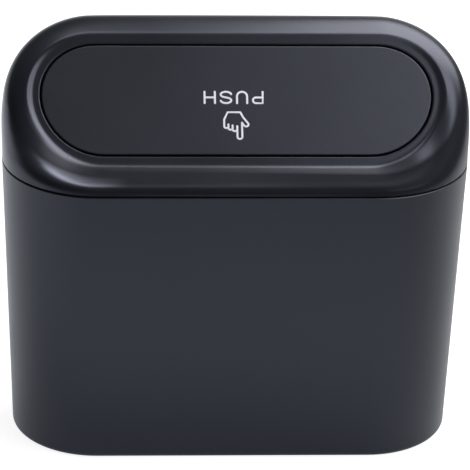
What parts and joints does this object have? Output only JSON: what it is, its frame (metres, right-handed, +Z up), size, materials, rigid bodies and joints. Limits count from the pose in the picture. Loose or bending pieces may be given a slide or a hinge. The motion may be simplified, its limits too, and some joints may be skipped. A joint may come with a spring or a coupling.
{
  "type": "car trash bin",
  "caption": "Oblong tapered car trash bin with a slanted top frame and a sprung push-in flap lid.",
  "frame": {"origin": "centre of the base, on the surface that the bin stands on", "axes": "+Z up, +X along the bin's length, the low front of the slanted frame faces -Y"},
  "size_m": [0.2056, 0.0846, 0.1834],
  "materials": {
    "bucket_plastic": "fine matt texture, charcoal",
    "frame_plastic": "satin, charcoal",
    "lid_plastic": "fine grained matt texture, charcoal",
    "pin_steel": "plain drawn steel",
    "spring_steel": "spring wire"
  },
  "bodies": {
    "housing": {"bucket": "bucket_plastic", "top_frame": "frame_plastic", "hinge_pin": "pin_steel", "spring_left": "spring_steel", "spring_right": "spring_steel"},
    "lid": {"push_lid": "lid_plastic"}
  },
  "joints": [
    {"name": "lid_hinge", "type": "hinge", "parent": "housing", "child": "lid", "pos_m": [0, 0.01733, 0.16623], "axis": [1, 0, 0], "range_deg": [0, 65], "stiffness_Nm_per_rad": 0.03, "springref_deg": -28.65, "deforming": ["spring_left", "spring_right"]}
  ]
}
